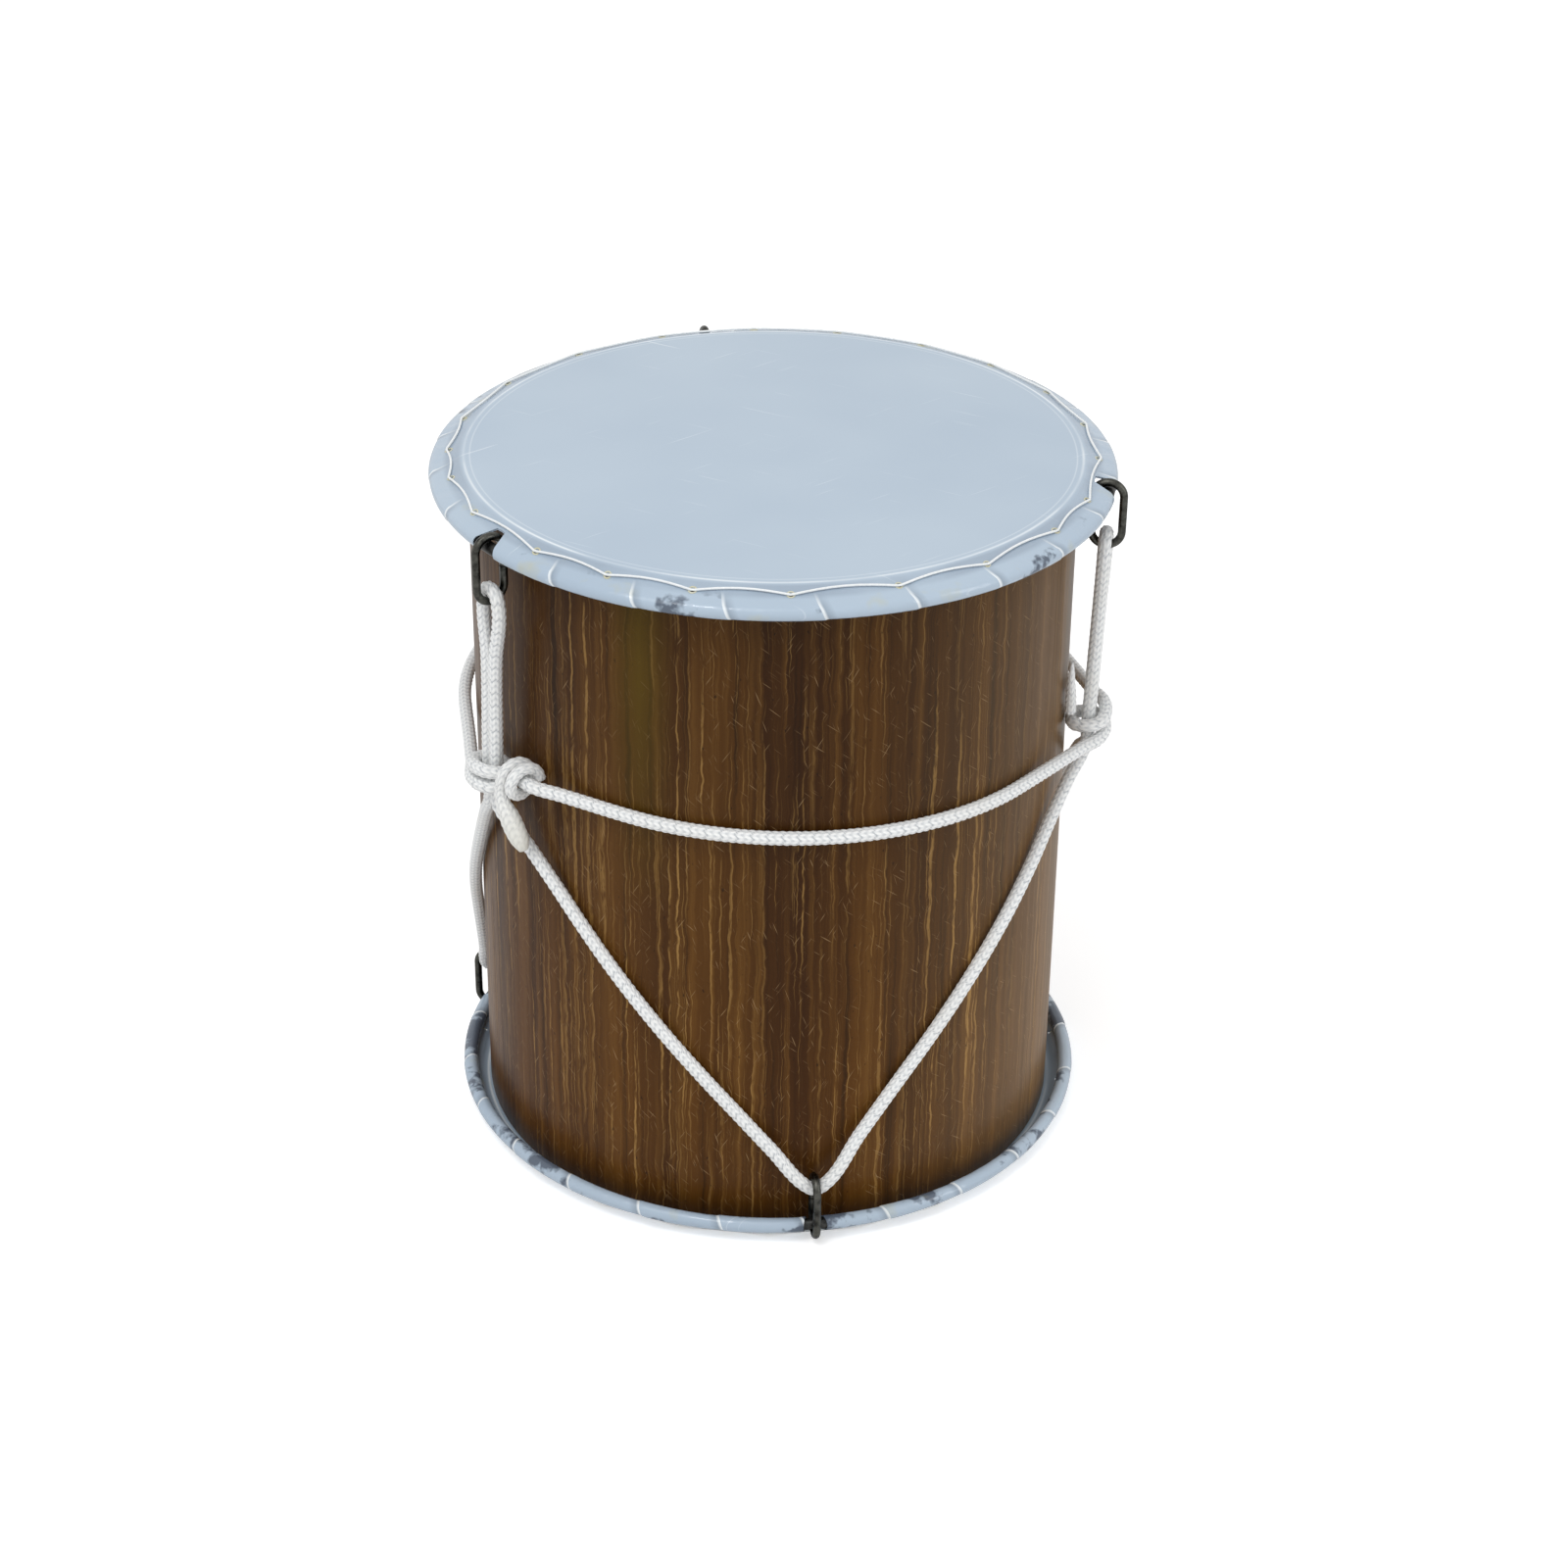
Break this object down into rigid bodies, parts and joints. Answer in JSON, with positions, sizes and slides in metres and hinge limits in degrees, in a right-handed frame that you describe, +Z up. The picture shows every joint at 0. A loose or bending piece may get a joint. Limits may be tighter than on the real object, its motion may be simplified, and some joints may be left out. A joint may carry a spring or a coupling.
{
  "type": "nagara drum",
  "caption": "Two-headed cylinder drum of dark wood with plastic film heads rolled round steel hoops and laced together with white rope.",
  "frame": {"origin": "centre of the lower head's outer face, which the drum stands on", "axes": "+Z up along the drum's axis, -Y towards the front link of the lower head"},
  "size_m": [0.3401, 0.3391, 0.3617],
  "materials": {
    "wood": "dark veneer under gloss varnish",
    "ring_wood": "bare plywood",
    "film": "milky bluish film",
    "steel": "dark drawn rod",
    "wire": "dull bent wire",
    "cord": "thin white cord",
    "rope": "white braided rope"
  },
  "bodies": {
    "drum": {"shell": "wood", "rim_ring_top": "ring_wood", "rim_ring_bottom": "ring_wood", "head_top": "film", "head_bottom": "film", "hoop_top": "steel", "hoop_bottom": "steel", "stitch_cord_top": "cord", "stitch_cord_bottom": "cord", "lacing_rope": "rope", "girdle_rope": "rope", "girdle_knot": "rope", "frayed_rope_end": "rope"},
    "top_left_link": {"link_top_left": "wire"},
    "top_right_link": {"link_top_right": "wire"},
    "top_back_link": {"link_top_back": "wire"},
    "bottom_front_link": {"link_bottom_front": "wire"},
    "bottom_right_link": {"link_bottom_right": "wire"},
    "bottom_left_link": {"link_bottom_left": "wire"}
  },
  "joints": [
    {"name": "top_left_link_rock", "type": "hinge", "parent": "drum", "child": "top_left_link", "pos_m": [-0.13178, -0.0993, 0.3531], "axis": [0.6018, -0.7986, 0], "range_deg": [-3, 3]},
    {"name": "top_right_link_rock", "type": "hinge", "parent": "drum", "child": "top_right_link", "pos_m": [0.16197, -0.03148, 0.3531], "axis": [0.1908, 0.9816, 0], "range_deg": [-3, 3]},
    {"name": "top_back_link_rock", "type": "hinge", "parent": "drum", "child": "top_back_link", "pos_m": [-0.03712, 0.16077, 0.3531], "axis": [-0.9744, -0.225, 0], "range_deg": [-3, 3]},
    {"name": "bottom_front_link_rock", "type": "hinge", "parent": "drum", "child": "bottom_front_link", "pos_m": [0.024, -0.1587, 0.0092], "axis": [0.9888, 0.1495, 0], "range_deg": [-2, 3]},
    {"name": "bottom_right_link_rock", "type": "hinge", "parent": "drum", "child": "bottom_right_link", "pos_m": [0.1074, 0.11928, 0.0092], "axis": [-0.7431, 0.6691, 0], "range_deg": [-2, 3]},
    {"name": "bottom_left_link_rock", "type": "hinge", "parent": "drum", "child": "bottom_left_link", "pos_m": [-0.15349, 0.04693, 0.0092], "axis": [-0.2924, -0.9563, 0], "range_deg": [-2, 3]}
  ]
}
